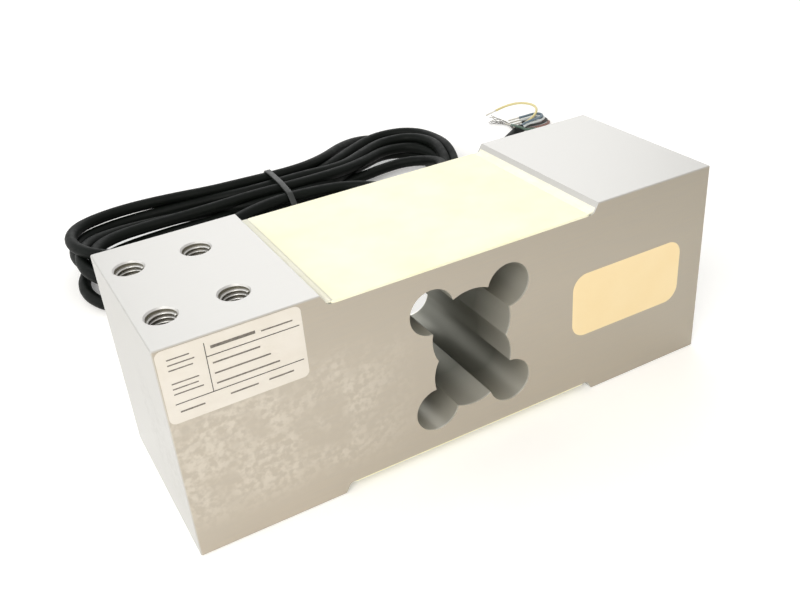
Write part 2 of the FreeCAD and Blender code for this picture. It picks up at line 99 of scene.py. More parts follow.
def new_finish(name, colour, roughness, **sockets):
    """A material with its even values on the shader's own sockets."""
    finish = bpy.data.materials.new(name)
    finish.use_nodes = True
    shader = finish.node_tree.nodes["Principled BSDF"]
    shader.inputs["Base Color"].default_value = tone(*colour)
    shader.inputs["Roughness"].default_value = roughness
    for socket, value in sockets.items():
        shader.inputs[socket.replace("_", " ")].default_value = value
    return finish


print("middle grey as linear light", round(tone(128, 128, 128)[0], 3))

# %% [markdown]
# One helper makes a node and connects it, because a finish is easier to read as a few lines from
# the pattern to the shader than as a screen full of links. It works on anything that has a node
# tree, so it serves the materials and, later, the world.

# %% One node, one sum and the link to the shader
def add(owner, kind, inputs=None, **settings):
    """One node: each input takes a value, or a link from another node's output."""
    made = owner.node_tree.nodes.new("ShaderNode" + kind)
    for key, value in settings.items():
        setattr(made, key, value)
    for key, value in (inputs or {}).items():
        if isinstance(value, bpy.types.NodeSocket):
            owner.node_tree.links.new(value, made.inputs[key])
        else:
            made.inputs[key].default_value = value
    return made


def math_node(owner, operation, *values):
    """One sum."""
    return add(owner, "Math", dict(enumerate(values)), operation=operation).outputs[0]


def feed(finish, socket, value):
    """Link a pattern to one of the shader's sockets."""
    shader = finish.node_tree.nodes["Principled BSDF"]
    finish.node_tree.links.new(value, shader.inputs[socket])

# %% [markdown]
# Patterns read object coordinates in metres, turned here to millimetres, so a speck of 2 mm is
# 2 mm on every piece. Most of what makes a surface look real is a noise at the right size.

# %% Places and noise
def place(finish, stretch=(1, 1, 1), centre=(0, 0, 0)):
    """Object coordinates in millimetres from a centre, divided by a stretch along each axis."""
    here = add(finish, "TexCoord").outputs["Object"]
    scale = [1 / MM / s for s in stretch]
    return add(finish, "Mapping", {"Vector": here, "Scale": scale,
                                   "Location": [-c * k * MM for c, k in zip(centre, scale)]}
               ).outputs["Vector"]


def speckle(finish, size, detail=3.0, stretch=(1, 1, 1)):
    """Noise whose blobs are about this many millimetres across."""
    return add(finish, "TexNoise", {"Vector": place(finish, stretch), "Scale": 1 / size,
                                    "Detail": detail}).outputs["Fac"]


print("a scale of", round(1 / MM), "turns metres to millimetres")

# %% [markdown]
# A ramp turns a pattern into colours or greys, and a mix lays one colour over another. A socket
# drifts when a noise leads it softly between two values. A bump gives a shallow relief that is
# too fine to model.

# %% From a pattern to a surface
def ramp(finish, factor, *stops):
    """A ramp of colours or greys against a factor: (place, colour) for each stop."""
    made = add(finish, "ValToRGB", {"Fac": factor})
    elements = made.color_ramp.elements
    elements[0].position, elements[1].position = stops[0][0], stops[-1][0]
    for where, _ in stops[1:-1]:
        elements.new(where)
    for element, (_, colour) in zip(elements, stops):
        element.color = tone(*colour) if isinstance(colour, tuple) else (colour, colour, colour, 1)
    return made.outputs["Color"]


def mix(owner, factor, first, second, blend="MIX"):
    """Two colours mixed by a factor."""
    made = add(owner, "Mix", {0: factor, 6: first, 7: second}, data_type="RGBA", blend_type=blend)
    return made.outputs[2]


def drift(finish, socket, size, low, high):
    """Let a socket wander between two values in patches of a size in millimetres."""
    feed(finish, socket, ramp(finish, speckle(finish, size), (0.3, low), (0.7, high)))


def emboss(finish, height, depth):
    """A bump this many millimetres deep."""
    feed(finish, "Normal", add(finish, "Bump", {"Height": height, "Strength": 1.0,
                                                "Distance": depth * MM}).outputs["Normal"])

# %% [markdown]
# ## The cable's line
#
# Nearly three metres of cable leave the gland, drop into the hank, go round it six times and run
# out to a stripped end. It is one curve, because it is one cable. A NURBS spline of order 3
# bends smoothly near its points and needs no handles. The turns of a real hank slide over each
# other: some lie on the table, the others rest on them, and the loops at both ends fan out. So
# each turn has points of its own, in millimetres: along the far side, round the left end, back
# along the near side and round the right end. The last turn leaves for the stripped end.

# %% The route of the lead, the turns and the tail
LEAD = [
    (56.5, 48, 32.5), (56.5, 65, 32.5), (59, 84, 26.5), (65.6, 101.1, 20.8),
    (76.2, 115.3, 17.6), (86.7, 128.5, 14.4), (91.5, 140.6, 11), (89.3, 151, 8.9),
    (82.2, 158.3, 7.5), (71.7, 160.7, 6.1), (60.9, 161.8, 4.4), (50, 164.5, 2.8),
    (41, 166.8, 2.6),
]
TURNS = [
    [(29, 163, 3.4), (4, 162.6, 3.4), (-18.9, 152.7, 2.6), (-33.7, 153.9, 2.6),
     (-47.3, 154.9, 2.6), (-58.3, 154.3, 2.6), (-66.8, 149.9, 2.6), (-71.5, 142.7, 2.6),
     (-71.8, 132.7, 2.6), (-66.2, 124.4, 2.8), (-56.1, 120.2, 3.2), (-43.2, 122.6, 4),
     (-27.2, 127.6, 4.8), (4.7, 159.1, 6), (29.8, 158.7, 6.2), (45.7, 140.6, 5.7),
     (59.5, 127.2, 5.8), (76.2, 120.2, 6), (91.1, 124.9, 5.7), (99.6, 138.7, 8.8),
     (104.4, 152.6, 11.8), (105.9, 166.6, 11.5), (103.4, 180, 11.3), (94.8, 187.8, 11.2),
     (80.4, 189.7, 10.7), (65.3, 182.8, 9.9), (49.3, 174.2, 9.3)],
    [(29.5, 167.6, 7), (4.5, 167.8, 7), (-13.1, 153.9, 6.6), (-29.1, 157.2, 6),
     (-46.1, 159.8, 4.3), (-61.1, 158.3, 3.8), (-73.2, 152.1, 3), (-79.4, 140.7, 2.7),
     (-80.1, 126.4, 2.7), (-74.1, 113.2, 2.6), (-60.7, 107.7, 2.6), (-44.2, 109.1, 2.6),
     (-25.4, 116.4, 2.6), (4.8, 153.1, 3.4), (29.1, 153.1, 3.4), (49.5, 142.1, 2.6),
     (61.4, 130.7, 2.6), (75.4, 124.1, 2.6), (87, 127.8, 3), (94, 137.8, 4.6),
     (97.6, 147.6, 6.6), (99.7, 157.8, 7.4), (96.9, 167.1, 8.2), (90.8, 172.5, 8.8),
     (78.6, 173.3, 9.4), (65.7, 165.8, 10.4), (51.4, 158.8, 11.6)],
    [(28, 155.5, 12.6), (2.9, 155.6, 13.2), (-18.3, 156.6, 11.9), (-33, 158.2, 11.1),
     (-46.7, 159.1, 10.7), (-58.1, 157.8, 10.8), (-67.2, 152.7, 11.4), (-72.4, 143.7, 12.3),
     (-73.2, 131.6, 13), (-67.5, 121.9, 12.3), (-57.2, 117.1, 11.1), (-44.2, 118.9, 8.5),
     (-28.2, 124.2, 6.9), (4.1, 148.6, 7.2), (29.5, 149.4, 6.9), (52.6, 145.1, 5.4),
     (63.6, 135, 4.1), (75.9, 130.2, 3.1), (85.5, 133.5, 2.6), (91.7, 142.6, 2.6),
     (95.1, 151.8, 2.8), (97.7, 161.6, 3), (95.4, 171, 3.9), (89.9, 176.4, 4.7),
     (78.8, 177.8, 5.5), (67.2, 171.1, 6.4), (54.5, 164.9, 7.1)],
    [(30.2, 152.3, 9.6), (5.1, 152.4, 9.6), (-15.1, 160.8, 8.9), (-30.8, 162.9, 9),
     (-46.5, 164.5, 9.4), (-60, 162.8, 10.2), (-71.1, 157, 11.6), (-77, 146.2, 12.7),
     (-78.5, 132.5, 11.8), (-72.9, 120.3, 9.9), (-60.9, 114.8, 7.6), (-46.1, 116.2, 4.3),
     (-28.9, 123, 2.6), (1.8, 142.7, 3.4), (27.2, 143.1, 3.4), (41.8, 139.4, 2.6),
     (56.7, 124.7, 2.6), (74.8, 116.8, 2.6), (90.8, 121.4, 2.6), (99.9, 136.1, 2.6),
     (104.8, 151.2, 2.6), (106.5, 167.3, 3), (104.4, 185.2, 3.8), (95.1, 198.5, 4.2),
     (80.1, 202.5, 6.2), (64.1, 191.5, 9.9), (47.1, 177, 12)],
    [(28.8, 169.7, 13.3), (3.8, 170.1, 13.9), (-12.3, 171.7, 13.7), (-28.3, 174.7, 13.8),
     (-45.2, 177.1, 13.6), (-60.2, 175.6, 13.7), (-72.2, 169.6, 14.3), (-78.1, 158.5, 15.4),
     (-78.4, 144.5, 16.5), (-71.8, 131.5, 16.4), (-57.7, 126.5, 14.9), (-40.6, 128.4, 12.3),
     (-21.5, 136.4, 10.8), (4.6, 146.8, 11.5), (29.6, 146.8, 11.1), (48.3, 144, 9.6),
     (60.6, 131.8, 8.8), (75.3, 124.5, 8.1), (87.6, 128.4, 7.9), (94.9, 139, 9.9),
     (98.7, 149.9, 12.1), (101.1, 161, 12.2), (98.6, 171.2, 12), (92.1, 177.2, 11.9),
     (79.3, 178.3, 11.8), (65.7, 171, 11.8), (51.1, 163, 11.6)],
    [(28.9, 164.1, 12.2), (4.1, 163.5, 11.8), (-11.8, 169.2, 10.5), (-27.8, 172.5, 9.6),
     (-44.8, 175.7, 8.6), (-59.8, 174.4, 8.6), (-71.8, 168.5, 9.2), (-77.8, 157.4, 9.7),
     (-78.1, 143.4, 9.7), (-71.4, 130.4, 9.8), (-57.4, 125.5, 9.2), (-41, 128.2, 5),
     (-22.2, 136.4, 2.6), (4.5, 139.2, 3.4), (29.6, 138.8, 3.4)],
]
TAIL = [
    (44.5, 128.4, 2.6), (58.3, 117.2, 2.6), (75.1, 112.9, 2.6), (92, 113, 2.6),
    (109, 118, 2.6), (122, 132, 2.6), (131, 148, 2.6), (145, 160.5, 2.6), (160, 169.5, 2.6),
]
ROUTE = LEAD + [point for turn in TURNS for point in turn] + TAIL
print(len(TURNS), "turns,", len(ROUTE), "points")

# %% [markdown]
# A curve with a bevel is a tube of true round section, and its line stays easy to change. One
# helper makes every free run: the cable, its cores and the tinned strands. The order is set after
# the points, since a spline with too few points falls back to straight runs.

# %% The tube helper
def run(name, points, diameter, finish, resolution=6, sides=4):
    """A round tube along a smooth line; points and diameter in millimetres."""
    data = bpy.data.curves.new(name, "CURVE")
    data.dimensions = "3D"
    data.bevel_depth = diameter / 2 * MM
    data.bevel_resolution = sides
    data.resolution_u = resolution
    data.use_fill_caps = True
    spline = data.splines.new("NURBS")
    spline.points.add(len(points) - 1)
    for control, place_mm in zip(spline.points, points):
        control.co = (*(c * MM for c in place_mm), 1)
    spline.order_u = 3
    spline.use_endpoint_u = True
    tube = bpy.data.objects.new(name, data)
    bpy.context.scene.collection.objects.link(tube)
    data.materials.append(finish)
    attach(tube, "root")
    return tube

# %% [markdown]
# The line without its bevel gives the tube's length, the places where a tie crosses it and the
# path that finer wires follow.

# %% The tube's own line
def centreline(tube):
    """The points that a tube's smooth line goes through, in metres."""
    bare = tube.data.copy()
    bare.bevel_depth = 0
    loose = bpy.data.objects.new("line", bare)
    mesh = bpy.data.meshes.new_from_object(loose)
    line = [vertex.co.copy() for vertex in mesh.vertices]
    bpy.data.objects.remove(loose)
    bpy.data.curves.remove(bare)
    bpy.data.meshes.remove(mesh)
    return line


def length_of(line):
    """A line's length, in the line's own unit."""
    return sum((b - a).length for a, b in zip(line, line[1:]))


print("a line of 3 and 4 measures", length_of([Vector((0, 0, 0)), Vector((3, 4, 0))]))

# %% [markdown]
# ## The cable
#
# The jacket is soft black PVC. Its colour is nearly black, and what one sees of it is mostly the
# broad grey sheen that a smooth, slightly dusty plastic gives. Roughness sets how wide that sheen
# spreads, and a faint noise keeps it from looking like glass.

# %% The jacket's finish
jacket_black = new_finish("jacket_black", (12, 15, 13), 0.5, Specular_IOR_Level=0.1)
haze = speckle(jacket_black, 9, stretch=(2, 1, 1))
feed(jacket_black, "Base Color", ramp(jacket_black, haze, (0.3, (8, 11, 9)), (0.75, (17, 21, 18))))
drift(jacket_black, "Roughness", 2.5, 0.44, 0.58)
emboss(jacket_black, speckle(jacket_black, 0.6, 2), 0.02)
print("made", jacket_black.name)

# %% [markdown]
# The cable takes the place of three CAD nodes, which were a plain lead, hank and tail. It starts
# at the gland's nose and points straight out of it.

# %% The cable
CABLE = 5.0
cable = run("cable", ROUTE, CABLE, jacket_black, resolution=8, sides=6)
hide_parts("cable_lead", "cable_hank", "cable_tail")
cable_line = centreline(cable)
print("cable", round(length_of(cable_line), 3), "m")

# %% [markdown]
# ## The stripped end
#
# The jacket ends and six cores come out of it, folded back on themselves so that their tinned
# ends point at the hank. Each core lies on a route of its own, because the cores of a stripped
# end never lie alike: the yellow one stands up in a wide arc, the green one hangs over the jacket.

# %% The cores' routes and colours
CORES = {
    "yellow": [(163.8, 172.2, 3.4), (168.6, 173.4, 4.2), (173.2, 174.4, 5.9), (176.8, 177.2, 7.5),
               (178.0, 182.0, 8.4), (176.6, 188.0, 8.3), (173.6, 193.6, 7.3), (168.4, 196.9, 5.8),
               (163.4, 197.4, 4.5)],
    "blue": [(165.0, 171.6, 4.3), (169.0, 171.5, 4.7), (173.6, 171.7, 4.7), (177.6, 173.2, 4.7),
             (178.8, 176.4, 4.7), (176.2, 179.2, 4.7), (171.0, 179.1, 4.6), (166.4, 179.6, 4.4)],
    "white": [(165.8, 171.3, 3.3), (169.0, 171.0, 3.4), (174.2, 171.0, 3.4), (178.3, 172.5, 3.4),
              (179.5, 175.7, 3.4), (176.9, 178.4, 3.4), (171.2, 178.3, 3.4), (166.4, 178.6, 3.3)],
    "green": [(165.2, 168.6, 1.6), (167.4, 166.0, 1.8), (167.2, 162.4, 2.4), (163.8, 160.0, 3.2),
              (159.6, 160.0, 4.4), (156.2, 162.4, 5.9), (154.8, 166.2, 6.4), (155.2, 170.8, 5.5)],
    "red": [(166.4, 170.9, 0.8), (170.5, 169.9, 0.7), (176.2, 169.7, 0.7), (180.8, 171.3, 0.7),
            (182.0, 174.6, 0.7), (179.3, 177.3, 0.7), (173.4, 177.2, 0.7), (167.4, 177.3, 0.7)],
    "black": [(166.0, 171.1, 2.2), (169.8, 170.4, 2.1), (175.2, 170.2, 2.1), (179.6, 171.8, 2.1),
              (180.8, 175.1, 2.1), (178.1, 177.9, 2.1), (172.4, 177.8, 2.1), (167.0, 177.9, 2.1)],
}
CORE_TONES = {"yellow": (228, 216, 158), "blue": (106, 126, 140), "white": (222, 228, 230),
              "green": (80, 102, 90), "red": (150, 112, 104), "black": (34, 33, 31)}
print(len(CORES), "cores")

# %% [markdown]
# Each core is one more run of tube. It starts on a ring inside the jacket, a sixth of a turn from
# its neighbour, as the cores lie in the real cable.

# %% The cores
CORE, CORE_RING, OUT_OF_JACKET = 1.3, 1.45, 0.3
FIRST_CORE_AT, BETWEEN_CORES = 30, 60
jacket_end = Vector(ROUTE[-1])
along = (jacket_end - Vector(ROUTE[-2])).normalized()
across = Vector((0, 0, 1)).cross(along)
cores, core_lines = {}, {}
for order, (colour, points) in enumerate(CORES.items()):
    finish = new_finish(f"core_{colour}_pvc", CORE_TONES[colour], 0.38)
    streak = speckle(finish, 1.2, stretch=(2, 2, 2))
    feed(finish, "Roughness", ramp(finish, streak, (0.3, 0.3), (0.7, 0.5)))
    turn = math.radians(BETWEEN_CORES * order + FIRST_CORE_AT)
    start = (jacket_end + along * OUT_OF_JACKET + across * CORE_RING * math.cos(turn)
             + Vector((0, 0, CORE_RING * math.sin(turn))))
    core = run(f"core_{colour}", [tuple(start)] + points, CORE, finish,
               resolution=8, sides=3)
    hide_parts(f"wire_{colour}")
    cores[colour], core_lines[colour] = core, centreline(core)
    print(colour, round(length_of(core_lines[colour]) * 1000, 1), "mm")

# %% [markdown]
# A tinned end is a bundle of fine wires, twisted by hand and dipped in solder. Six wires on a
# helix round a seventh give that twist. The same helper makes the screen: its fine wires are
# gathered, twisted once and left to fan out a little at the end.

# %% The tin and the twist
LOWEST_WIRE = 0.2
tinned = new_finish("tinned_wire", (206, 203, 194), 0.34, Metallic=1.0)
drift(tinned, "Roughness", 0.5, 0.25, 0.45)


def twist(line, ring, pitch, phase, fan=0.0):
    """A helix round a line, given and returned in millimetres; its ring may widen at the end."""
    turned_points, travelled = [], 0.0
    for index, here in enumerate(line):
        ahead = (line[min(index + 1, len(line) - 1)] - line[max(index - 1, 0)]).normalized()
        side = ahead.cross(Vector((0, 0, 1))).normalized()
        travelled += (here - line[max(index - 1, 0)]).length
        angle = 2 * math.pi * travelled / pitch + phase
        share = index / (len(line) - 1)
        wide = ring * (1 + fan * share ** 4)
        point = here + wide * (side * math.cos(angle) + side.cross(ahead) * math.sin(angle))
        turned_points.append(Vector((point.x, point.y, max(point.z, LOWEST_WIRE))))
    return turned_points


print("made", tinned.name)

# %% [markdown]
# A bmesh is worked on and then becomes a mesh with a name, a finish and the body it rides on.

# %% From a bmesh to a piece
def finish_piece(name, shape, finish, smooth=True):
    """Turn a bmesh into a named piece of the load cell."""
    mesh = bpy.data.meshes.new(name)
    shape.to_mesh(mesh)
    shape.free()
    for polygon in mesh.polygons:
        polygon.use_smooth = smooth
    mesh.materials.append(finish)
    piece = bpy.data.objects.new(name, mesh)
    bpy.context.scene.collection.objects.link(piece)
    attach(piece, "root")
    print(name, len(mesh.polygons), "faces")
    return piece

# %% [markdown]
# A bundle is one straight wire in the middle and the others twisted round it. Each is drawn with
# the tube helper, its mesh is added to the bundle, and the curve is thrown away.

# %% A bundle of wires
def bundle(name, lines, wires, wire, ring, pitch, finish, fan=0.0):
    """One mesh piece of twisted wires along several lines in millimetres."""
    shape = bmesh.new()
    for line in lines:
        round_it = [twist(line, ring, pitch, 2 * math.pi * k / wires, fan) for k in range(wires)]
        for path in [line, *round_it]:
            strand = run("strand", [tuple(p) for p in path], wire, finish,
                         resolution=1, sides=1)
            mesh = bpy.data.meshes.new_from_object(strand)
            shape.from_mesh(mesh)
            bpy.data.objects.remove(strand)
            bpy.data.meshes.remove(mesh)
    return finish_piece(name, shape, finish)

# %% [markdown]
# Each core's tip goes straight on from where its colour ends, starting a little inside it so that
# no gap shows. A tip that points down is turned up until its end clears the table.

# %% The tinned tips
TIP_LENGTH, TIP_STEPS, TIP_CLEARANCE = 6.5, 12, 0.55
tip_lines = []
for line in core_lines.values():
    end, before = line[-1] / MM, line[-2] / MM
    ahead = (end - before).normalized()
    ahead.z = max(ahead.z, (TIP_CLEARANCE - end.z) / TIP_LENGTH)
    step = ahead.normalized() * TIP_LENGTH
    tip_lines.append([end + step * k / TIP_STEPS for k in range(-1, TIP_STEPS + 1)])
tips = bundle("tinned_tips", tip_lines, wires=6, wire=0.3, ring=0.29, pitch=5.0, finish=tinned)
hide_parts("core_tips")
print(len(tip_lines), "tips")

# %% [markdown]
# The screen is darker than the tips, because its fine wires aren't dipped in solder. It is
# gathered and twisted to one side of the cores, and its end fans out.

# %% The screen
SCREEN = [(157.4, 171.8, 1.2), (160.8, 177.4, 0.9), (162.2, 183.4, 0.9), (160.4, 189.0, 0.9),
          (157.0, 193.4, 0.9)]
guide = run("guide", SCREEN, 1.0, tinned)
screen_line = [point / MM for point in centreline(guide)]
bpy.data.objects.remove(guide)
dark_wire = new_finish("screen_wire", (86, 82, 76), 0.45, Metallic=0.5)
drift(dark_wire, "Roughness", 0.5, 0.35, 0.55)
screen = bundle("screen_wires", [screen_line], wires=7, wire=0.24, ring=0.45, pitch=26.0,
                finish=dark_wire, fan=6.0)
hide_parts("cable_screen")
print("screen", round(length_of(screen_line), 1), "mm")

# %% [markdown]
# ## The tie round the waist
#
# A cable tie pulls a bundle into the shape that a stretched string would take round it. That
# shape is a convex hull. First the places are found where the cable crosses the tie's plane.

# %% The strands under the tie
TIE_X, TIE_WIDTH, TIE_THICKNESS, TIE_CLEARANCE = 16.5, 2.6, 0.8, 0.05
crossings = []
for a, b in zip(cable_line, cable_line[1:]):
    if (a.x - TIE_X * MM) * (b.x - TIE_X * MM) < 0:
        crossings.append(a.lerp(b, (TIE_X * MM - a.x) / (b.x - a.x)))
print(len(crossings), "strands under the tie")

# %% [markdown]
# Two rings of vertices stand for each strand, one at each edge of the band. The hull operator
# wraps all of them, what it leaves inside is deleted, and so are the two flat ends.

# %% The band's hull
shape = bmesh.new()
for crossing in crossings:
    for side in (-1, 1):
        spot = Matrix.Translation((crossing.x + side * TIE_WIDTH / 2 * MM, crossing.y, crossing.z))
        bmesh.ops.create_circle(shape, segments=24, radius=(CABLE / 2 + TIE_CLEARANCE) * MM,
                                matrix=spot @ Matrix.Rotation(math.pi / 2, 4, "Y"))
hull = bmesh.ops.convex_hull(shape, input=shape.verts)
left_over = hull["geom_interior"] + hull["geom_unused"]
spare = {item for item in left_over if isinstance(item, bmesh.types.BMVert)}
bmesh.ops.delete(shape, geom=list(spare), context="VERTS")
ends = [face for face in shape.faces if abs(face.normal.x) > 0.9]
bmesh.ops.delete(shape, geom=ends, context="FACES")
bmesh.ops.recalc_face_normals(shape, faces=shape.faces)
print(len(spare), "vertices were inside the hull")

# %% [markdown]
# Solidify gives the band its thickness outwards, and a small bevel takes the sharpness off its
# edges. The nylon is black with a soft sheen.

# %% The tie's band
TIE_ROUNDING = 0.15
tie_nylon = new_finish("tie_nylon", (34, 37, 35), 0.45)
drift(tie_nylon, "Roughness", 1.0, 0.38, 0.55)
tie = finish_piece("tie_band", shape, tie_nylon)
thick = tie.modifiers.new("thickness", "SOLIDIFY")
thick.thickness = TIE_THICKNESS * MM
thick.offset = 1
round_edges = tie.modifiers.new("round edges", "BEVEL")
round_edges.width = TIE_ROUNDING * MM
round_edges.segments = 2
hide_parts("cable_tie")

# %% [markdown]
# The cable and its cores are free cords.

print(1 + len(cores), "cords")

# %% [markdown]
# ## The block's finish
#
# The block is milled aluminium. Its wide side faces are a warm, matt grey with painted shade, its
# top and ends are a brighter copy with painted light, and the walls of its openings are painted
# darker as shade. One material can be all of these when its pattern knows where it is and which
# way the surface faces.

# %% Place and facing
BLOCK_MIDDLE = (0, 0, 32.5)
aluminium = new_finish("milled_aluminium", (212, 208, 198), 0.42, Metallic=0.65)
here = add(aluminium, "SeparateXYZ", {"Vector": place(aluminium, centre=BLOCK_MIDDLE)})
at_x, at_y, at_z = (here.outputs[axis] for axis in "XYZ")
facing = add(aluminium, "SeparateXYZ", {"Vector": add(aluminium, "TexCoord").outputs["Normal"]})
print("made", aluminium.name)

# %% [markdown]
# A mask is 1 on one kind of surface and 0 off it. It comes from a place, from a facing, or from
# both, and two short sums turn a mask over or keep only what several masks share.

# %% The sums of masks
def climb(owner, value, start, end):
    """0 up to a start, 1 from an end on, and even in between."""
    return add(owner, "MapRange", {"Value": value, "From Min": start, "From Max": end}).outputs[0]


def within(owner, value, limit, soft):
    """1 where a value's size is under a limit, and 0 past it."""
    return climb(owner, math_node(owner, "ABSOLUTE", value), limit + soft, limit - soft)


def times(*factors):
    """Masks and strengths multiplied, so that only what all of them hold stays."""
    product = factors[0]
    for factor in factors[1:]:
        product = math_node(aluminium, "MULTIPLY", product, factor)
    return product


def outside_of(mask):
    """A mask turned over."""
    return math_node(aluminium, "SUBTRACT", 1.0, mask)

# %% [markdown]
# The two wide faces look along Y and lie 30 mm from the middle. The bores are all that is in a box
# round the cut-out and isn't a wide face. The inner walls are upright ones that lie inside the
# block's outline, such as the walls of the tapped holes.

# %% The masks
WIDE_FACE_FROM, FACES_ALONG_Y, CUT_OUT_HALF = 29.8, 0.7, (21.0, 24.0)
UPRIGHT, INSIDE_HALF = 0.3, (86.3, 29.3)
on_side = outside_of(within(aluminium, at_y, WIDE_FACE_FROM, 0.1))
faces_y = outside_of(within(aluminium, facing.outputs["Y"], FACES_ALONG_Y, 0.1))
wide_face = times(faces_y, on_side)
cut_out = times(within(aluminium, at_x, CUT_OUT_HALF[0], 0.5),
                within(aluminium, at_z, CUT_OUT_HALF[1], 0.5))
bores = times(cut_out, outside_of(wide_face))
shaded_inner_wall = times(within(aluminium, facing.outputs["Z"], UPRIGHT, 0.05),
                   times(within(aluminium, at_y, INSIDE_HALF[1], 0.2),
                         within(aluminium, at_x, INSIDE_HALF[0], 0.2)))
print(len(aluminium.node_tree.nodes), "nodes for the masks")

# %% [markdown]
# Milling leaves a fine grain along the cut, which is a noise stretched thirty times along the
# block. The side faces carry painted shade: they grow a little darker towards the pocket's end and
# towards the top. The top and ends are a brighter copy with painted light.

# %% The milled faces, with painted light and painted shade
FIRST_TONE_AT, LAST_TONE_AT = -60.0, 90.0
DARKER_FROM, DARKER_AT, DARKENING = 10.0, 34.0, 0.13
GRAIN_WIDTH, GRAIN_STRETCH = 0.35, 30
grain = speckle(aluminium, GRAIN_WIDTH, 4, stretch=(GRAIN_STRETCH, 1, 1))
# Painted light: the top and ends get a brighter copy of the metal's tone, as faces lit from above.
painted_lit_tone = mix(aluminium, grain, tone(188, 187, 184), tone(196, 195, 192))
# Painted shade: the wide faces grow darker along the block towards the pocket's end and towards
# the top.
shade_along_block = climb(aluminium, at_x, FIRST_TONE_AT, LAST_TONE_AT)
milled_with_painted_shade = mix(aluminium, shade_along_block, tone(183, 176, 166), tone(167, 161, 151))
shade_towards_top = climb(aluminium, at_z, DARKER_FROM, DARKER_AT)
milled_with_painted_shade = mix(aluminium, times(shade_towards_top, DARKENING), milled_with_painted_shade, tone(90, 86, 80))
milled_with_painted_shade = mix(aluminium, grain, milled_with_painted_shade, tone(206, 200, 188), "SOFT_LIGHT")
print("grain", GRAIN_WIDTH * GRAIN_STRETCH, "mm long")

# %% [markdown]
# Something pale has dried on the front face, low and towards the label. A fine noise gives its
# lace, a coarse one breaks it into clouds, and bands keep it in its place.

# %% The dried residue
RESIDUE_STARTS, RESIDUE_FULL, RESIDUE_HEIGHT, RESIDUE_HALF = -18.0, -42.0, -4.0, 17.0
RESIDUE_STRENGTH = 0.6
lace = ramp(aluminium, speckle(aluminium, 1.7, 3), (0.4, 0.0), (0.6, 1.0))
cloud = ramp(aluminium, speckle(aluminium, 9, 3), (0.36, 0.1), (0.56, 1.0))
band_x = climb(aluminium, at_x, RESIDUE_STARTS, RESIDUE_FULL)
from_band = math_node(aluminium, "SUBTRACT", at_z, RESIDUE_HEIGHT)
band_z = within(aluminium, from_band, RESIDUE_HALF, 5.0)
on_front = climb(aluminium, at_y, 0.0, -1.0)
residue = times(times(lace, cloud), times(band_x, band_z), on_front, RESIDUE_STRENGTH)
milled_with_painted_shade = mix(aluminium, residue, milled_with_painted_shade, tone(218, 211, 199))
print("residue up to", RESIDUE_STRENGTH)

# %% [markdown]
# A bore has painted light: it is painted bright at its mouth and dark inside, where little light
# gets in, and its very lip carries a painted highlight, the brightest tone. The inner walls carry
# painted shade, an even dark tone. Last, the tones are laid over each other by their masks, and
# the grain and the residue also make the surface rougher.

# %% The openings, and the finish put together
MOUTH_AT, DARKEST_AT, LIP_FROM = -30.0, -12.0, 29.55
# Painted shade inside the bores, and painted light at their mouths.
into = climb(aluminium, at_y, MOUTH_AT, DARKEST_AT)
bore_painted_light = mix(aluminium, into, tone(214, 211, 200), tone(126, 126, 117))
# Painted highlight: the bores' lips are the brightest tone.
not_lip = within(aluminium, at_y, LIP_FROM, 0.1)
bore_painted_light = mix(aluminium, not_lip, tone(250, 248, 240), bore_painted_light)
outside = mix(aluminium, wide_face, painted_lit_tone, milled_with_painted_shade)
# Painted shade: the inner walls, such as those of the tapped holes, get an even dark tone.
outside = mix(aluminium, shaded_inner_wall, outside, tone(132, 128, 114))
feed(aluminium, "Base Color", mix(aluminium, bores, outside, bore_painted_light))
dulled = math_node(aluminium, "ADD", times(grain, 0.14), 0.36)
feed(aluminium, "Roughness", math_node(aluminium, "ADD", dulled, times(residue, 0.2)))
emboss(aluminium, grain, 0.015)
print(len(aluminium.node_tree.nodes), "nodes in all")

# %% [markdown]
# ## The sealed and printed parts
#
# A pale elastic coat covers the gauges, amber-cream resin fills the terminal pocket and a pale
# matt film is the label. Each drifts softly between two colours, and a shallow bump keeps its
# sheen from being even. The gland is nickel-plated brass.

# %% The coat, the resin, the film and the nickel
cover_coat = new_finish("cover_coat", (250, 249, 228), 0.5)
drift(cover_coat, "Base Color", 18, (250, 247, 212), (251, 249, 226))
emboss(cover_coat, speckle(cover_coat, 6, 2), 0.05)

resin = new_finish("potting_cream", (250, 226, 178), 0.35)
drift(resin, "Base Color", 12, (248, 222, 170), (252, 232, 190))
emboss(resin, speckle(resin, 5, 2), 0.08)

label_film = new_finish("label_film", (228, 223, 214), 0.42)
drift(label_film, "Base Color", 9, (226, 220, 210), (231, 226, 218))
emboss(label_film, speckle(label_film, 3, 2), 0.02)

nickel = new_finish("nickel_plate", (200, 192, 176), 0.26, Metallic=1.0)
drift(nickel, "Roughness", 2.0, 0.2, 0.36)
emboss(nickel, speckle(nickel, 0.3, 3), 0.01)
print("made", cover_coat.name, resin.name, label_film.name, nickel.name)

# %% [markdown]
# The parts inside the pocket and under the coat are hardly seen, so each has one even colour and
# a little change in its roughness.

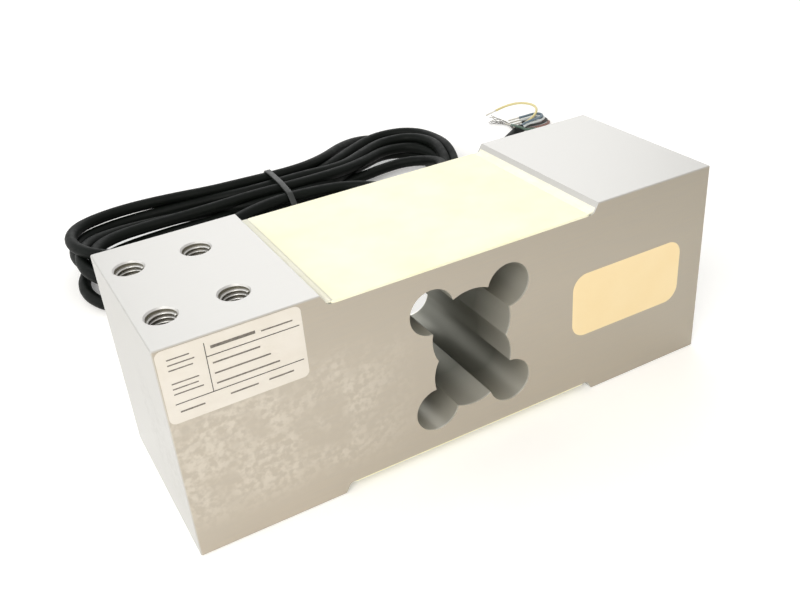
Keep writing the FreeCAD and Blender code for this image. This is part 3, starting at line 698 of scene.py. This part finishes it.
# %% The plain finishes
SPREAD = 0.08
plain = {
    "gauge_foil": ("gauge_film", (196, 150, 70), 0.4),
    "flat_lead": ("flat_lead", (170, 120, 60), 0.45),
    "circuit_board": ("board_green", (40, 92, 60), 0.45),
    "resistor_body": ("resistor_black", (36, 36, 38), 0.5),
    "nylon_washer": ("washer_nylon", (232, 230, 222), 0.5),
    "seal_rubber": ("seal_rubber", (34, 34, 34), 0.6),
}
finishes = {"aluminium_block": aluminium, "gauge_cover": cover_coat, "potting_resin": resin,
            "label_film": label_film, "nickel_brass": nickel, "cable_jacket": jacket_black,
            "tinned_copper": tinned, "tie_nylon": tie_nylon}
for slot, (name, colour, roughness) in plain.items():
    finishes[slot] = new_finish(name, colour, roughness)
    drift(finishes[slot], "Roughness", 1.5, roughness - SPREAD, roughness + SPREAD)
print(len(finishes), "finishes")

# %% [markdown]
# Every CAD node came with materials that name their slots. Each slot now gets its finish. The
# cores' slots have none here, since their nodes are replaced by the drawn cores.

# %% The finishes on the CAD nodes
for name, node in nodes.items():
    for holder in node.material_slots:
        slot = holder.material.name.split(".")[0] if holder.material else ""
        if slot in finishes:
            holder.material = finishes[slot]
        print(name, slot, "finished" if slot in finishes else "kept")

# %% [markdown]
# ## The thread in the mounting holes
#
# A tapped hole shows bright turns that wind down into shadow. A plain bore lacks them, so the
# thread is a piece of its own: one small trapezoid, spun round the hole's axis while it sinks by
# one pitch each turn. The operator that spins a profile also takes a step along the axis, which
# makes the helix. The profile's outer side sits just inside the metal.

# %% The holes' places
HOLE_FROM_END, HOLE_SPACING, HOLE_MOUTH = 16.5, (19.0, 30.0), 0.8
block_low, block_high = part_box("beam_body")
holes = []
for end, start in ((-1, block_high.z / MM - HOLE_MOUTH), (1, HOLE_MOUTH)):
    for dx in (-0.5, 0.5):
        for dy in (-0.5, 0.5):
            x = end * (block_high.x / MM - HOLE_FROM_END) + dx * HOLE_SPACING[0]
            holes.append((x, dy * HOLE_SPACING[1], start, end))
print(len(holes), "holes")

# %% [markdown]
# The holes at the label's end open at the top and their threads sink. Those at the other end open
# underneath and their threads rise.

# %% The threads
PITCH, MAJOR, MINOR, INTO_METAL = 1.25, 4.0, 3.38, 0.05
THREAD_PROFILE = [(MAJOR + INTO_METAL, 0.0), (MINOR, 0.42), (MINOR, 0.62),
                  (MAJOR + INTO_METAL, 1.04)]
THREAD_TURNS, STEPS = 11, 30
thread = bmesh.new()
for x, y, start, way in holes:
    corners = [thread.verts.new(((x + r) * MM, y * MM, (start + way * drop) * MM))
               for r, drop in THREAD_PROFILE]
    face = thread.faces.new(corners)
    bmesh.ops.spin(thread, geom=[face, *face.edges, *face.verts], cent=(x * MM, y * MM, 0),
                   axis=(0, 0, 1), dvec=(0, 0, way * PITCH / STEPS * MM),
                   angle=2 * math.pi * THREAD_TURNS, steps=STEPS * THREAD_TURNS)
bmesh.ops.recalc_face_normals(thread, faces=thread.faces)
finish_piece("hole_threads", thread, aluminium)

# %% [markdown]
# ## The sealant at the cover's ends
#
# The elastic coat is finished with a bead that climbs partway up the sloped ends of the recess,
# higher at the pocket's end than at the other. The bead is a prism: its profile is one row of
# points, from the coat's edge over the bead's back and down to the recess floor.

# %% The bead's profile
RECESS_DEPTH, SLOPE, BEAD_WIDTH = 3.25, math.tan(math.radians(30)), 59.0
RISES = {-1: 0.8, 1: 1.9}
cover_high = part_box("top_gauge_cover")[1]
cover_end, cover_top = cover_high.x / MM, cover_high.z / MM
floor_z, foot = block_high.z / MM - RECESS_DEPTH, cover_end + 0.5


def bead_profile(rise):
    """The bead's corners, as distances along the block and heights in millimetres."""
    crest = foot + rise * SLOPE
    return [(cover_end - 1.2, cover_top - 0.3), (cover_end - 1.2, cover_top + 0.03),
            (cover_end - 0.3, cover_top + 0.12), (foot + 0.4, cover_top + 0.15 * rise),
            (crest + 0.02, floor_z + rise), (crest + 0.3, floor_z + rise - 0.1),
            (foot + 0.3, floor_z + 0.02)]


print(len(bead_profile(1.0)), "corners")

# %% [markdown]
# Extruding the profile across the block makes the prism. A small bevel rounds the edges round its
# two ends where they stand clear of the floor, so that they don't look cut.

# %% The sealant beads
CLEAR_OF_FLOOR, BEAD_ROUNDING = 0.5, 0.12
beads = bmesh.new()
for side, rise in RISES.items():
    corners = [beads.verts.new((side * px * MM, -BEAD_WIDTH / 2 * MM, pz * MM))
               for px, pz in bead_profile(rise)]
    grown = bmesh.ops.extrude_face_region(beads, geom=[beads.faces.new(corners)])["geom"]
    far = [item for item in grown if isinstance(item, bmesh.types.BMVert)]
    bmesh.ops.translate(beads, vec=(0, BEAD_WIDTH * MM, 0), verts=far)
bmesh.ops.recalc_face_normals(beads, faces=beads.faces)
end_edges = [e for e in beads.edges if abs(e.verts[0].co.y - e.verts[1].co.y) < MM
             and e.verts[0].co.z > (floor_z + CLEAR_OF_FLOOR) * MM]
bmesh.ops.bevel(beads, geom=end_edges, offset=BEAD_ROUNDING * MM, segments=2, profile=0.5,
                affect="EDGES", material=-1)
bead_finish = new_finish("sealant_bead", (248, 246, 226), 0.5)
drift(bead_finish, "Base Color", 5, (247, 245, 220), (250, 248, 232))
emboss(bead_finish, speckle(bead_finish, 3, 2), 0.05)
finish_piece("sealant_beads", beads, bead_finish)

# %% [markdown]
# ## The skin of the potting
#
# Resin that cures in a pocket forms a smooth skin. It could be a change in the resin's own
# finish, but a thin plate that stands a hair in front of the resin keeps the pocket's rounded
# corners sharp. It is a grid of one face, scaled to the pocket, with its four corners rounded.

# %% The resin's skin
POCKET_CENTRE, POCKET_SIZE, POCKET_CORNER, IN_FRONT = (56.5, 32.5), (42.0, 21.5), 5.0, 0.01
skin = bmesh.new()
bmesh.ops.create_grid(skin, x_segments=1, y_segments=1, size=0.5 * MM)
bmesh.ops.scale(skin, vec=(*POCKET_SIZE, 1), verts=skin.verts)
bmesh.ops.bevel(skin, geom=list(skin.verts), offset=POCKET_CORNER * MM, segments=8, profile=0.5,
                affect="VERTICES", material=-1)
bmesh.ops.rotate(skin, cent=(0, 0, 0), matrix=Matrix.Rotation(math.pi / 2, 3, "X"),
                 verts=skin.verts)
bmesh.ops.translate(skin, verts=skin.verts, vec=Vector(
    (POCKET_CENTRE[0], block_low.y / MM - IN_FRONT, POCKET_CENTRE[1])) * MM)
skin_finish = new_finish("potting_skin", (250, 228, 180), 0.32)
feed(skin_finish, "Base Color", mix(skin_finish, speckle(skin_finish, 10),
                                    tone(247, 222, 170), tone(251, 230, 184)))
emboss(skin_finish, speckle(skin_finish, 5, 2), 0.10)
finish_piece("potting_skin", skin, skin_finish)

# %% [markdown]
# ## The label's print
#
# The label carries ruled lines and rows of print. Each row of print is a plain bar in a softer
# grey than the rules, so nothing on it can be read. First come the two inks.

# %% The inks
ink = new_finish("label_ink", (40, 38, 36), 0.5)
drift(ink, "Roughness", 1, 0.42, 0.6)
row_grey = new_finish("label_rows", (104, 99, 92), 0.5)
fade = speckle(row_grey, 0.8, 2)
feed(row_grey, "Base Color", ramp(row_grey, fade, (0.3, (90, 86, 80)), (0.7, (128, 122, 113))))
print("made", ink.name, row_grey.name)

# %% [markdown]
# The rules and rows are thin bars that stand a hair over the film. Each is a grid of one face,
# scaled to its size, stood upright and moved to its place.

# %% The label's rules and rows
OVER_THE_FILM = 0.02
label_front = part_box("data_label")[0].y / MM - OVER_THE_FILM


def print_bars(name, bars, finish):
    """Flat bars on the label: (left, right, bottom, top) in millimetres."""
    shape = bmesh.new()
    for left, right, bottom, top in bars:
        middle = Vector(((left + right) / 2, label_front, (bottom + top) / 2)) * MM
        made = bmesh.ops.create_grid(shape, x_segments=1, y_segments=1, size=0.5)["verts"]
        bmesh.ops.scale(shape, vec=((right - left) * MM, (top - bottom) * MM, 1), verts=made)
        bmesh.ops.rotate(shape, matrix=Matrix.Rotation(math.pi / 2, 3, "X"), verts=made)
        bmesh.ops.translate(shape, vec=middle, verts=made)
    finish_piece(name, shape, finish, smooth=False)


rules = [(-74.7, -74.5, 48.9, 63.0), (-74.6, -50.4, 58.9, 59.15), (-84.2, -50.5, 48.8, 49.05)]
print_bars("label_rules", rules, ink)
rows = [(-73.2, -61.8, 60.9, 61.75), (-60.3, -52.0, 60.8, 61.2),
        (-73.4, -61.2, 56.6, 57.05), (-73.4, -58.8, 53.6, 54.05), (-73.4, -56.8, 50.7, 51.15),
        (-84.0, -78.4, 61.4, 61.75), (-84.0, -77.4, 59.9, 60.25), (-84.0, -78.0, 58.4, 58.75),
        (-84.0, -77.2, 54.6, 54.95), (-84.0, -77.6, 53.1, 53.45), (-84.0, -76.6, 51.6, 51.95),
        (-83.4, -77.2, 46.3, 46.75), (-70.6, -63.2, 46.4, 46.85), (-60.4, -53.6, 46.4, 46.85)]
print_bars("label_rows", rows, row_grey)

# %% [markdown]
# ## The floor and the light
#
# A catalogue picture has a white ground with hardly any shadow. The floor is a pale matt plane,
# and it adds a little light of its own only where the camera, a reflection or a clear material
# looks at it, so the ground is white and the object is not lit by it. Far out the lamps reach it
# less, so its own light grows with the distance from the object.

# %% The floor's finish
GLOW_NEAR, GLOW_FAR, GLOW_GROWS = 0.2, 0.5, (0.6, 2.0)


def looked_at(owner):
    """1 for rays from the camera, from a reflection or through a clear material, else 0."""
    path = add(owner, "LightPath").outputs
    seen = math_node(owner, "MAXIMUM", path["Is Camera Ray"], path["Is Glossy Ray"])
    return math_node(owner, "MAXIMUM", seen, path["Is Transmission Ray"])


floor_finish = new_finish("floor_white", (250, 250, 249), 0.9, Emission_Color=(1, 1, 1, 1))
middle_out = add(floor_finish, "TexCoord").outputs["Object"]
distance = add(floor_finish, "VectorMath", {"Vector": middle_out}, operation="LENGTH")
glow = add(floor_finish, "MapRange", {"Value": distance.outputs["Value"],
                                      "From Min": GLOW_GROWS[0], "From Max": GLOW_GROWS[1],
                                      "To Min": GLOW_NEAR, "To Max": GLOW_FAR}).outputs[0]
feed(floor_finish, "Emission Strength",
     math_node(floor_finish, "MULTIPLY", looked_at(floor_finish), glow))
print("made", floor_finish.name)

# %% [markdown]
# The floor lies a tenth of a millimetre below the object, so their faces don't fight for the same
# place. It belongs to the stage and not to the load cell.

# %% The floor
FLOOR_BELOW = 0.1
shape = bmesh.new()
bmesh.ops.create_grid(shape, x_segments=8, y_segments=8, size=4.0,
                      matrix=Matrix.Translation((0, 0, -FLOOR_BELOW * MM)))
floor_mesh = bpy.data.meshes.new("floor")
shape.to_mesh(floor_mesh)
shape.free()
floor = bpy.data.objects.new("floor", floor_mesh)
floor_mesh.materials.append(floor_finish)
bpy.context.scene.collection.objects.link(floor)
print("floor", [round(side, 1) for side in floor.dimensions])

# %% [markdown]
# The world is bright above and behind, and dimmer and warmer on the near side, which gives the
# aluminium's near faces their warm grey. What looks at it directly sees plain white, as it does
# with the floor. The helpers for a finish's nodes also serve here.

# %% The world
FAR_LIGHT, NEAR_LIGHT, WORLD_STRENGTH = (0.95, 0.96, 0.97, 1), (0.50, 0.44, 0.34, 1), 0.6
world = bpy.data.worlds.new("studio")
bpy.context.scene.world = world
world.use_nodes = True
world.node_tree.nodes.clear()
direction = add(world, "TexCoord").outputs["Generated"]
apart = add(world, "SeparateXYZ", {"Vector": direction})
near_side = climb(world, apart.outputs["Y"], 0.3, -0.9)
light = mix(world, near_side, FAR_LIGHT, NEAR_LIGHT)
lit = add(world, "Background", {"Color": light, "Strength": WORLD_STRENGTH})
white = add(world, "Background", {"Color": (1, 1, 1, 1), "Strength": 1.0})
both = add(world, "MixShader", {0: looked_at(world), 1: lit.outputs[0], 2: white.outputs[0]})
add(world, "OutputWorld", {"Surface": both.outputs[0]})
print(len(world.node_tree.nodes), "nodes in the world")

# %% [markdown]
# Four large square lamps light the load cell softly. The one behind brightens the top faces, the
# one on the left the end, and the two in front, a little warmer, fill the front face. Their
# powers are set so that the palest faces stay just under white.

# %% The lamps
DAYLIGHT, WARM = (1, 1, 1), (1.0, 0.98, 0.94)


def softbox(name, place, aim, size, power, colour):
    """A square area lamp that looks at a point."""
    lamp = bpy.data.lights.new(name, "AREA")
    lamp.shape = "SQUARE"
    lamp.size, lamp.energy, lamp.color = size, power, colour
    holder = bpy.data.objects.new(name, lamp)
    turn = (Vector(aim) - Vector(place)).to_track_quat("-Z", "Y").to_matrix().to_4x4()
    holder.matrix_world = Matrix.Translation(place) @ turn
    bpy.context.scene.collection.objects.link(holder)
    print(name, power, "W")


softbox("back", (0.55, 1.15, 0.95), (0, 0.02, 0.03), 1.2, 6.0, DAYLIGHT)
softbox("left", (-1.2, 0.35, 0.7), (0, 0, 0.03), 0.9, 4.5, DAYLIGHT)
softbox("front fill", (-0.75, -0.75, 0.95), (0, 0, 0.03), 0.8, 9.0, WARM)
softbox("near fill", (-0.45, -0.6, 0.42), (-0.05, -0.03, 0.03), 0.45, 1.6, WARM)
bpy.context.scene.view_settings.view_transform = "Standard"
